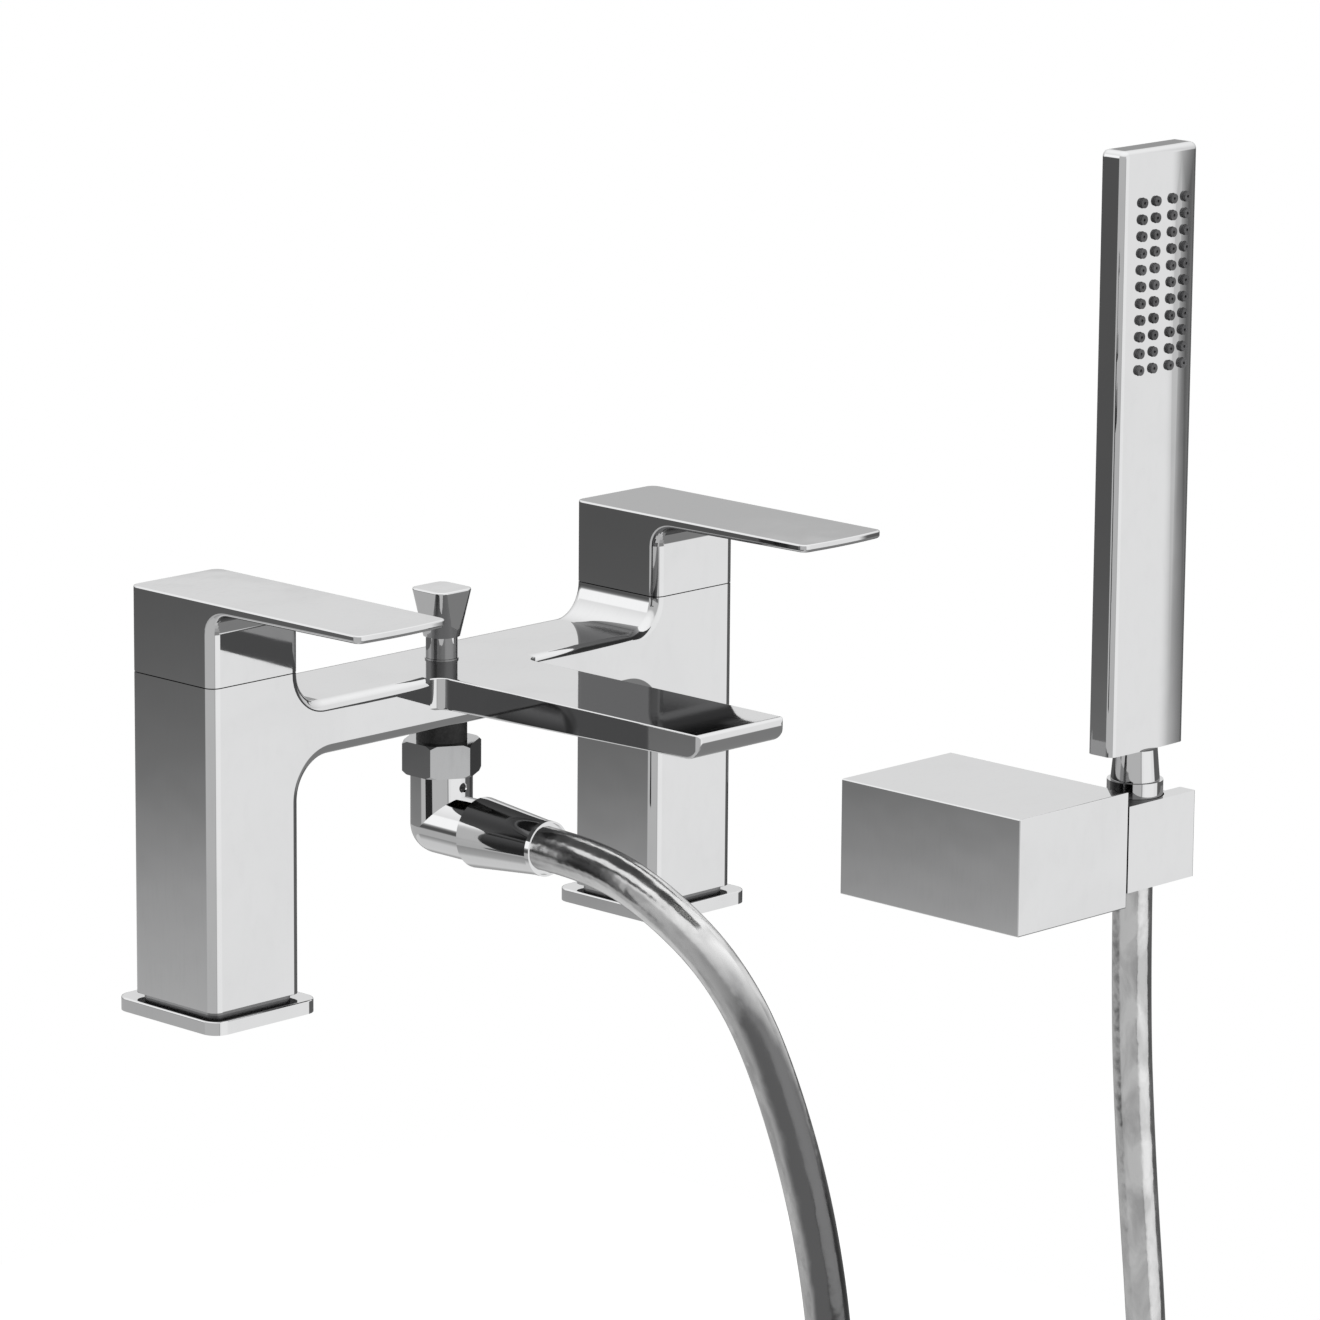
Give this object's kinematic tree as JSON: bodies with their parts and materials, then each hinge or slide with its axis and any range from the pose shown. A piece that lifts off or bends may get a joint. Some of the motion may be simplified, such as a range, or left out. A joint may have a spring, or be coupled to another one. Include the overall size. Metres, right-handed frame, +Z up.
{
  "type": "bath shower mixer",
  "caption": "Deck bath shower mixer with quarter-turn levers, a flat spout, a lift-up diverter, a hose and a flat handset in a tilting wall bracket.",
  "frame": {"origin": "midway between the two tap holes, on the deck's surface", "axes": "+X along the bridge to the right-hand pillar, -Y the way the spout points, +Z up; the wall bracket is on the +X side and its wall is square to Y"},
  "size_m": [0.4136, 0.1889, 0.7186],
  "materials": {
    "chrome": "polished chrome plate",
    "brass": "turned brass",
    "rubber_black": "moulded rubber",
    "ceramic": "lapped ceramic",
    "steel": "machined stainless steel",
    "plastic": "moulded plastic",
    "hose_skin": "smooth silver-grey plastic",
    "nozzle_rubber": "grey silicone rubber"
  },
  "bodies": {
    "mixer": {"base_plate_left": "chrome", "base_plate_right": "chrome", "base_seal_left": "rubber_black", "base_seal_right": "rubber_black", "bracket_case": "chrome", "bracket_grub_screw": "steel", "bracket_wall_plate": "steel", "check_valve": "plastic", "diverter_cage": "chrome", "diverter_gland": "chrome", "elbow_grub_screw": "steel", "fixed_disc_left": "ceramic", "fixed_disc_right": "ceramic", "flow_straightener": "plastic", "gland_o_ring": "rubber_black", "hose_lower_ferrule": "brass", "hose_lower_nut": "chrome", "hose_lower_washer": "rubber_black", "mixer_bridge": "chrome", "outlet_elbow": "chrome", "outlet_union_nut": "chrome", "outlet_union_washer": "rubber_black", "pillar_left": "chrome", "pillar_right": "chrome", "seat_washer_left": "rubber_black", "seat_washer_right": "rubber_black", "shower_hose": "hose_skin", "valve_housing_left": "brass", "valve_housing_right": "brass"},
    "lever_turn_left": {"lever_left": "chrome", "lever_grub_screw_left": "steel", "valve_spindle_left": "brass", "spindle_o_ring_left": "rubber_black", "moving_disc_left": "ceramic"},
    "lever_turn_right": {"lever_right": "chrome", "lever_grub_screw_right": "steel", "valve_spindle_right": "brass", "spindle_o_ring_right": "rubber_black", "moving_disc_right": "ceramic"},
    "diverter": {"diverter_knob": "chrome", "diverter_shaft": "brass", "diverter_valve": "brass", "diverter_washers": "rubber_black"},
    "holder": {"handset_holder": "chrome", "holder_pivot_nut": "steel", "holder_friction_washer": "plastic"},
    "hose_top": {"hose_upper_ferrule": "brass", "hose_upper_washer": "rubber_black"},
    "handset": {"hose_upper_nut": "chrome", "handset_foot": "chrome", "foot_o_ring": "rubber_black", "handset_body": "chrome", "handset_nozzle_mat": "nozzle_rubber", "handset_tube": "plastic"}
  },
  "joints": [
    {"name": "left_lever", "type": "hinge", "parent": "mixer", "child": "lever_turn_left", "pos_m": [-0.09, 0, 0.1], "axis": [0, 0, 1], "range_deg": [-90, 0]},
    {"name": "right_lever", "type": "hinge", "parent": "mixer", "child": "lever_turn_right", "pos_m": [0.09, 0, 0.1], "axis": [0, 0, 1], "range_deg": [0, 90]},
    {"name": "diverter_lift", "type": "slide", "parent": "mixer", "child": "diverter", "axis": [0, 0, 1], "range_m": [0, 0.0085]},
    {"name": "holder_tilt", "type": "hinge", "parent": "mixer", "child": "holder", "pos_m": [0.269, -0.029, -0.0085], "axis": [1, 0, 0], "range_deg": [-10, 30], "deforming": ["shower_hose"]},
    {"name": "handset_lift", "type": "slide", "parent": "holder", "child": "hose_top", "axis": [0, 0, 1], "range_m": [0, 0.04], "deforming": ["shower_hose"]},
    {"name": "handset_turn", "type": "hinge", "parent": "hose_top", "child": "handset", "pos_m": [0.2849, -0.029, 0], "axis": [0, 0, 1], "continuous": true}
  ]
}
